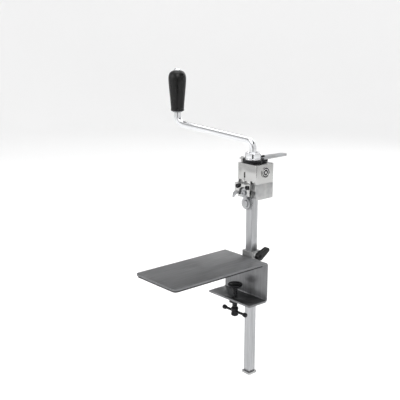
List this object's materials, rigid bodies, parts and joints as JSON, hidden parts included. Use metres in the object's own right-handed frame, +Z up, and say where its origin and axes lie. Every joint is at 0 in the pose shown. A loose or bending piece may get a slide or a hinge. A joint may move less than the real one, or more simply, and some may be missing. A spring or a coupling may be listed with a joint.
{
  "type": "manual can opener",
  "caption": "Bench can opener: clamp-on base plate, sliding square column with a lock, geared head with knife and feed wheel, and a hand crank with a turning grip.",
  "frame": {"origin": "point under the base pad, on the clamp screw's axis, where the pad rests on the worktop", "axes": "+Z up along the column, +X outward past the table's end, Y along the table's end"},
  "size_m": [0.323, 0.217, 0.6],
  "materials": {
    "brushed_steel": "brushed",
    "satin_nickel": "satin plated casting",
    "polished_nickel": "polished plated casting",
    "chrome": "bright chrome",
    "stamped_steel": "satin stamped",
    "black_oxide": "black oxide",
    "tool_steel": "ground",
    "bronze": "sintered bronze",
    "black_phenolic": "moulded satin gloss",
    "rubber": "matt"
  },
  "bodies": {
    "base": {"base_plate": "brushed_steel", "base_pad": "rubber", "guide_sleeve": "satin_nickel", "clamp_nut": "black_oxide"},
    "clamp_foot": {"clamp_foot": "black_oxide"},
    "clamp_screw": {"clamp_screw": "black_oxide"},
    "tommy_bar": {"tommy_bar": "black_oxide", "tommy_bar_end_left": "black_oxide", "tommy_bar_end_right": "black_oxide"},
    "bar_lock": {"lock_stud": "black_oxide", "lock_lever": "black_phenolic", "lock_lever_screw": "black_oxide"},
    "column": {"column_bar": "brushed_steel", "bar_end_stop": "satin_nickel", "bar_end_screw": "black_oxide", "head_housing": "satin_nickel", "gearbox_cover": "polished_nickel", "cover_screw_1": "black_oxide", "cover_screw_2": "black_oxide", "cover_screw_3": "black_oxide", "cover_screw_4": "black_oxide", "head_set_screw_1": "black_oxide", "head_set_screw_2": "black_oxide", "badge_plate": "polished_nickel", "bearing_collar": "chrome", "crank_bush": "bronze", "layshaft_bush": "bronze", "layshaft_rear_bush": "bronze", "wheel_axle": "tool_steel"},
    "layshaft": {"layshaft": "tool_steel", "bevel_gear": "tool_steel", "spur_pinion": "tool_steel"},
    "feed_wheel": {"wheel_gear": "tool_steel", "feed_wheel": "tool_steel"},
    "knife_slide": {"knife_slide": "satin_nickel", "knife_holder": "polished_nickel", "holder_screw_1": "black_oxide", "holder_screw_2": "black_oxide", "knife_screw": "tool_steel", "knife_spring": "tool_steel", "rim_guide": "stamped_steel"},
    "knife_disc": {"knife_disc": "tool_steel"},
    "knife_lever": {"lever_ring": "black_oxide", "knife_lever": "stamped_steel", "lever_screw_1": "black_oxide", "lever_screw_2": "black_oxide"},
    "crank": {"crank_rod": "chrome", "bevel_pinion": "tool_steel", "grip_washer": "tool_steel", "grip_cap_nut": "chrome"},
    "grip": {"grip": "black_phenolic"}
  },
  "joints": [
    {"name": "column_slide", "type": "slide", "parent": "base", "child": "column", "axis": [0, 0, 1], "range_m": [-0.08, 0.175]},
    {"name": "bar_lock_turn", "type": "hinge", "parent": "base", "child": "bar_lock", "pos_m": [0.042, -0.02, 0.008], "axis": [0, -1, 0], "range_deg": [0, 110]},
    {"name": "clamp_foot_slide", "type": "slide", "parent": "base", "child": "clamp_foot", "axis": [0, 0, 1], "range_m": [-0.0171, 0.0081]},
    {"name": "clamp_screw_turn", "type": "hinge", "parent": "clamp_foot", "child": "clamp_screw", "pos_m": [0, 0, -0.06], "axis": [0, 0, 1], "range_deg": [-4080, 1920]},
    {"name": "tommy_bar_slide", "type": "slide", "parent": "clamp_screw", "child": "tommy_bar", "axis": [0, 1, 0], "range_m": [-0.016, 0.016]},
    {"name": "crank_turn", "type": "hinge", "parent": "column", "child": "crank", "pos_m": [0.042, 0, 0.2], "axis": [0, 0, 1], "continuous": true},
    {"name": "grip_spin", "type": "hinge", "parent": "crank", "child": "grip", "pos_m": [-0.02111, 0.14376, 0.31], "axis": [0, 0, 1], "continuous": true},
    {"name": "layshaft_turn", "type": "hinge", "parent": "column", "child": "layshaft", "pos_m": [0.042, 0, 0.13], "axis": [1, 0, 0], "continuous": true},
    {"name": "feed_wheel_turn", "type": "hinge", "parent": "column", "child": "feed_wheel", "pos_m": [0.03, 0, 0.11], "axis": [1, 0, 0], "continuous": true},
    {"name": "knife_lever_turn", "type": "hinge", "parent": "column", "child": "knife_lever", "pos_m": [0.042, 0, 0.19], "axis": [0, 0, 1], "range_deg": [0, 80]},
    {"name": "knife_slide_lift", "type": "slide", "parent": "column", "child": "knife_slide", "axis": [0, 0, 1], "range_m": [0, 0.0061], "deforming": ["knife_spring"]},
    {"name": "knife_disc_spin", "type": "hinge", "parent": "knife_slide", "child": "knife_disc", "pos_m": [0.0234, 0.002, 0.1305], "axis": [1, 0, 0], "continuous": true}
  ],
  "couplings": [
    {"joint": "clamp_foot_slide", "follows": "clamp_screw_turn", "m_per_rad": 0.00023873},
    {"joint": "layshaft_turn", "follows": "crank_turn", "ratio": -1},
    {"joint": "feed_wheel_turn", "follows": "crank_turn", "ratio": 0.66667},
    {"joint": "knife_slide_lift", "follows": "knife_lever_turn", "m_per_rad": 0.0042972}
  ]
}
